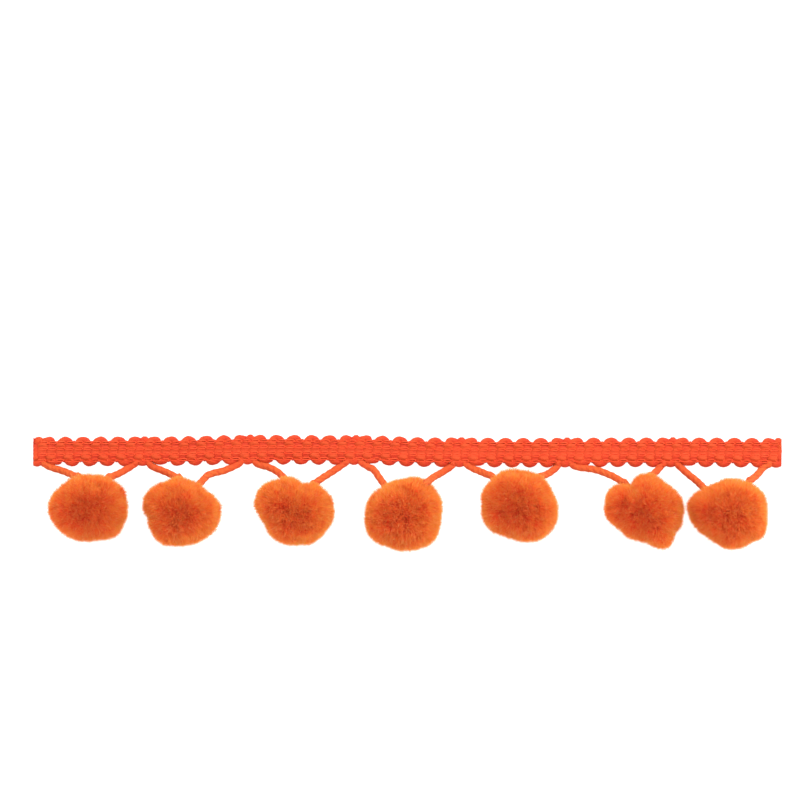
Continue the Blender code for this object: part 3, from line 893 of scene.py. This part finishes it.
def chain_link():
    """One stitch of a warp chain along X: a loop of yarn that narrows to where the last one holds it."""
    deselect_all()
    bpy.ops.mesh.primitive_torus_add(
        major_segments=LINK_RINGS, minor_segments=LINK_SIDES, major_radius=1.0, minor_radius=0.5,
        generate_uvs=True,
    )
    obj = bpy.context.active_object
    obj.name = "warp_link"
    obj.data.uv_layers[0].name = UV_MAP
    for index, vertex in enumerate(obj.data.vertices):
        angle = 2 * math.pi * (index // LINK_SIDES) / LINK_RINGS
        middle = Vector((math.cos(angle), math.sin(angle), 0))
        out = (vertex.co - middle) * WARP_YARN
        x = middle.x * (LINK_LENGTH - WARP_YARN) / 2
        y = middle.y * (LINK_WIDTH - WARP_YARN) / 2 * (LINK_FULLNESS + LINK_TAPER * middle.x)
        rise = LINK_SLOPE * middle.x - LINK_ENDS_DIP * (middle.x * middle.x)
        vertex.co = Vector((x, y, rise)) + out
    bpy.ops.object.shade_smooth()
    return obj


def own_cells(mesh, first_cell):
    """Gives each stitch of a chain its own cell of the map."""
    loops_per_link = 4 * LINK_RINGS * LINK_SIDES
    for index, place in enumerate(mesh.uv_layers[UV_MAP].data):
        cell = first_cell + index // loops_per_link
        u, v = (min(max(value, 0.0), 1.0) * (1 - 2 * CELL_MARGIN) + CELL_MARGIN for value in place.uv)
        across = (cell % STITCHES_ACROSS + u) / STITCHES_ACROSS
        up = (cell // STITCHES_ACROSS + v) / STITCHES_UP
        place.uv = (across, up)


def braid_warps(material):
    """Four chains of fine yarn along the braid, a stitch over each run of the weft."""
    link = chain_link()
    rows = []
    for number, row in enumerate(sorted(WARP_ROWS, key=abs, reverse=True)):
        copy = link.copy()
        copy.data = link.data.copy()
        bpy.context.scene.collection.objects.link(copy)
        array = copy.modifiers.new("along", "ARRAY")
        array.count = RUNS
        array.use_relative_offset = False
        array.use_constant_offset = True
        array.constant_offset_displace = (RUN_STEP, 0, 0)
        apply_modifiers(copy)
        own_cells(copy.data, number * RUNS)
        for vertex in copy.data.vertices:
            local = vertex.co
            x = FIRST_NODE_X + RUN_STEP / 2 + local.x
            z = WEFT_Z + WEFT_HALF_THICKNESS * (1 - WARP_PINCH) + LINK_ABOVE_WEFT + local.z
            vertex.co = on_braid(x, row + local.y, z)
        rows.append(copy)
    bpy.data.objects.remove(link)
    deselect_all()
    for row in rows:
        row.select_set(True)
    bpy.context.view_layer.objects.active = rows[0]
    bpy.ops.object.join()
    obj = bpy.context.active_object
    obj.name = "braid_warps"
    finish_piece(obj, material, "braid_yarn")


# Loops

def loop_side(row, side):
    """One side of a loop, from the braid to a little way under the pompom's pile."""
    entry_z = HIGH_ENTRY_Z if row["lies_on"] == side else ENTRY_Z
    last = len(row[side]) - 1
    points = []
    for index, (x, y) in enumerate(row[side]):
        z = CORD_REST_Z + (entry_z - CORD_REST_Z) * (index / last) ** RISE_POWER
        points.append(Vector((x * MM, y * MM, z)))
    return [*points, points[-1].lerp(points[-2], -UNDER_PILE)]


def middle_of(row):
    """The middle of a pompom, where yarn is tied round the loop."""
    return Vector((row["x"], row["y"], 0)) * MM + Vector((0, 0, (row["height"] * MM - PRESSED_FLAT) / 2))


def in_braid(node, way):
    """The loop cord's way through the braid at a node, from its turn at the upper edge."""
    x = FIRST_NODE_X + REPEAT * node
    return [on_braid(x + off * MM, y * MM, z * MM) for off, y, z in way]


def loop_cord(number, row, material, fuzz):
    """A loop's cord, from its turn in the braid through its pompom and back to the next turn."""
    bight = [middle_of(row) + Vector((x, y, 0)) * MM for x, y in BIGHT]
    points = [
        *in_braid(number - 1, TO_THE_RIGHT), *loop_side(row, "left"), *bight,
        *reversed(loop_side(row, "right")), *reversed(in_braid(number, TO_THE_LEFT)),
    ]
    # At the trim's ends the cord goes on to where it is cut off with the braid.
    if number == 1:
        points = [*reversed(in_braid(0, TO_THE_LEFT[1:-1])), *points]
    if number == len(POMPOMS):
        points = [*points, *in_braid(number, TO_THE_RIGHT[1:-1])]
    route = evenly_spaced(curve_through(points), CORD_STEP)
    radii = []
    for point in route:
        gripped = math.exp(-((point.y - BRAID_Y - GRIP_Y) / GRIP_REACH) ** 2)
        radii.append(CORD_RADIUS * (1 - GRIP * gripped))
    obj = plied_cord(f"loop_{number}", route, radii, CORD_TWIST, len(route) - 1)
    cut_ends(obj, CORD_CUT_INSET)
    hairs = layer(fuzz, CORD_FUZZ, CORD_FUZZ_LENGTH, combing=0.6, spread=1.0)
    add_pile(obj, [hairs], LOOP_SEED + number, map_from_root=True)
    finish_piece(obj, material, "cord_yarn", f"loop_cord_{number}")


# Pompoms

def form_height(direction, row):
    """How far the side bulges out or sinks in at this direction, and less so towards the top."""
    bearing = math.degrees(math.atan2(direction.y, direction.x))
    level = math.hypot(direction.x, direction.y)
    elevation = math.degrees(math.atan2(direction.z, level))
    height = 0.0
    for form_bearing, proud, spread in row["forms"]:
        off = (bearing - form_bearing + 180) % 360 - 180
        height += proud * math.exp(-0.5 * (off / spread) ** 2)
    for tuft_bearing, proud, spread in row["tufts"]:
        off = (bearing - tuft_bearing + 180) % 360 - 180
        height += proud * math.exp(-0.5 * (off ** 2 + elevation ** 2) / spread ** 2)
    return height * level ** 2 * MM


def lumps(direction, closeness, start, number):
    """The noise in this direction, each pompom's from a place of its own."""
    x, y, z = start
    return noise.noise(direction * closeness + Vector((x * number, y, z)))


def pile_point(direction, number, row):
    """Where the roots of the pile lie in this direction."""
    semi = Vector((row["width"] * MM, row["depth"] * MM, row["height"] * MM + PRESSED_FLAT)) / 2
    reach = 1 / math.sqrt(sum((direction[axis] / semi[axis]) ** 2 for axis in range(3)))
    uneven = lumps(direction, UNEVEN_LUMPS, UNEVEN_START, number)
    finer = lumps(direction, FINER_LUMPS, FINER_START, number)
    reach += form_height(direction, row) + UNEVEN_HEIGHT * uneven + FINER_HEIGHT * finer - PILE_DEPTH
    point = middle_of(row) + direction * reach
    point.z = max(LOWEST_ROOT, point.z)
    return point


def pompom(number, row, material, fibre, flyaway):
    """A ball with the forms of its row, and its pile grown all over it."""
    deselect_all()
    bpy.ops.mesh.primitive_ico_sphere_add(subdivisions=4, radius=1)
    obj = bpy.context.active_object
    obj.name = f"yarn_pompom_{number}"
    for vertex in obj.data.vertices:
        vertex.co = pile_point(vertex.co.normalized(), number, row)
    area = sum(face.area for face in obj.data.polygons)
    bpy.ops.object.shade_smooth()
    pile = layer(fibre, FIBRES_PER_POMPOM / area, PILE_LENGTH, combing=0.9, spread=0.7)
    fluff = layer(
        flyaway, FLYAWAYS_PER_POMPOM / area, FLYAWAY_LENGTH, combing=0.75, spread=0.7, shades=FLYAWAY_SHADES,
    )
    seed = POMPOM_SEED + SEEDS_PER_POMPOM * number
    add_pile(obj, [pile, fluff], seed, map_from_root=False, tone=row["tone"])
    finish_piece(obj, material, "pompom_yarn", f"pompom_{number}")


# Table, lights and camera

def area_light(name, place, size, watts):
    """A round light, aimed at the origin."""
    data = bpy.data.lights.new(name, "AREA")
    data.shape = "DISK"
    data.size = size
    data.energy = watts
    obj = bpy.data.objects.new(name, data)
    obj.location = place
    obj.rotation_euler = (-Vector(place)).to_track_quat("-Z", "Y").to_euler()
    bpy.context.scene.collection.objects.link(obj)


def table_and_lights():
    deselect_all()
    bpy.ops.mesh.primitive_plane_add(size=TABLE_WIDTH)
    table = bpy.context.active_object
    table.name = "table"
    table.data.materials.append(table_material())
    world = bpy.data.worlds.new("soft_white")
    bpy.context.scene.world = world
    world.use_nodes = True
    background = world.node_tree.nodes["Background"]
    background.inputs["Color"].default_value = (1, 1, 1, 1)
    background.inputs["Strength"].default_value = SKY_STRENGTH
    for light in LIGHTS:
        area_light(*light)


def camera():
    data = bpy.data.cameras.new("above")
    data.sensor_width = SENSOR_WIDTH
    data.lens = SENSOR_WIDTH * CAMERA_HEIGHT / VIEW_WIDTH
    obj = bpy.data.objects.new("above", data)
    obj.location = VIEW_MIDDLE + Vector((0, 0, CAMERA_HEIGHT))
    bpy.context.scene.collection.objects.link(obj)
    bpy.context.scene.camera = obj
    bpy.context.scene.view_settings.view_transform = "Standard"


def main():
    camera()
    table_and_lights()
    fibre = strand("pile_fibre", PILE_WIDTH)
    flyaway = strand("flyaway_fibre", FLYAWAY_WIDTH)
    fuzz = strand("fuzz_fibre", FUZZ_WIDTH)
    pile = pompom_yarn()
    # The weft is painted more orange where a run goes over into a turn, painted light on the bumps at the
    # edges, and a loop's cord is redder towards the braid.
    weft = cord_material(
        "braid_weft_yarn", dark=(0.50, 0.026, 0.009), light=(0.56, 0.044, 0.011), sheen_tint=(1.0, 0.45, 0.2),
        along_scale=14, around_scale=7, tint=((0.59, 0.080, 0.012), 2, 1, 0.5),
    )
    cord = cord_material(
        "loop_cord_yarn", dark=(0.52, 0.056, 0.012), light=(0.70, 0.136, 0.024), sheen_tint=(1.0, 0.5, 0.2),
        along_scale=60, around_scale=7, tint=((0.60, 0.045, 0.012), 1, 4, 1.0),
    )
    braid_weft(weft, fuzz)
    edge_yarn("upper_edge_yarn", 1, weft)
    edge_yarn("lower_edge_yarn", -1, weft)
    braid_warps(warp_material())
    for number, row in enumerate(POMPOMS, start=1):
        loop_cord(number, row, cord, fuzz)
        pompom(number, row, pile, fibre, flyaway)
    for shape in (fibre, flyaway, fuzz):
        bpy.data.objects.remove(shape)


main()
